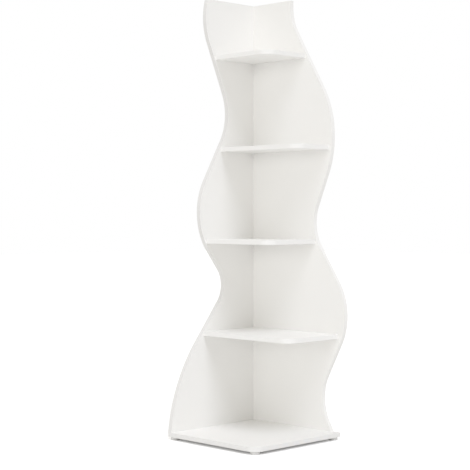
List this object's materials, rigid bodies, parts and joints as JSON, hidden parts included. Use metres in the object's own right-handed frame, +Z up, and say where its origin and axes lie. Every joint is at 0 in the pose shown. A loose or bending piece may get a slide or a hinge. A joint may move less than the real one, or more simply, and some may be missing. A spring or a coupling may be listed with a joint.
{
  "type": "corner shelf",
  "caption": "Tall open corner shelf of white board, with two wavy-edged panels at a right angle, a square base board on low feet and shelves with a rounded front corner.",
  "frame": {"origin": "on the floor, under the middle of the bounding box", "axes": "+Z up; the back panel runs along X at +Y, the side panel runs along Y at -X, and the open front faces +X and -Y"},
  "size_m": [0.5384, 0.5, 1.825],
  "materials": {
    "white_board": "satin white melamine facing on particle board",
    "white_band": "satin white edge band",
    "foot_plastic": "moulded, fine matt texture",
    "zinc_steel": "bright zinc plating",
    "dowel_wood": "plain turned beech"
  },
  "bodies": {
    "root": {"side_panel": "white_board", "back_panel": "white_board", "base_board": "white_board", "shelf_1": "white_board", "shelf_2": "white_board", "shelf_3": "white_board", "shelf_4": "white_board", "side_panel_band": "white_band", "back_panel_band": "white_band", "base_band": "white_band", "shelf_1_band": "white_band", "shelf_2_band": "white_band", "shelf_3_band": "white_band", "shelf_4_band": "white_band", "foot_corner": "foot_plastic", "foot_side": "foot_plastic", "foot_back": "foot_plastic", "foot_front": "foot_plastic", "foot_screws": "zinc_steel", "side_screws": "zinc_steel", "back_screws": "zinc_steel", "corner_screws": "zinc_steel", "base_screws": "zinc_steel", "shelf_dowels": "dowel_wood", "corner_dowels": "dowel_wood", "base_dowels": "dowel_wood"}
  },
  "joints": []
}
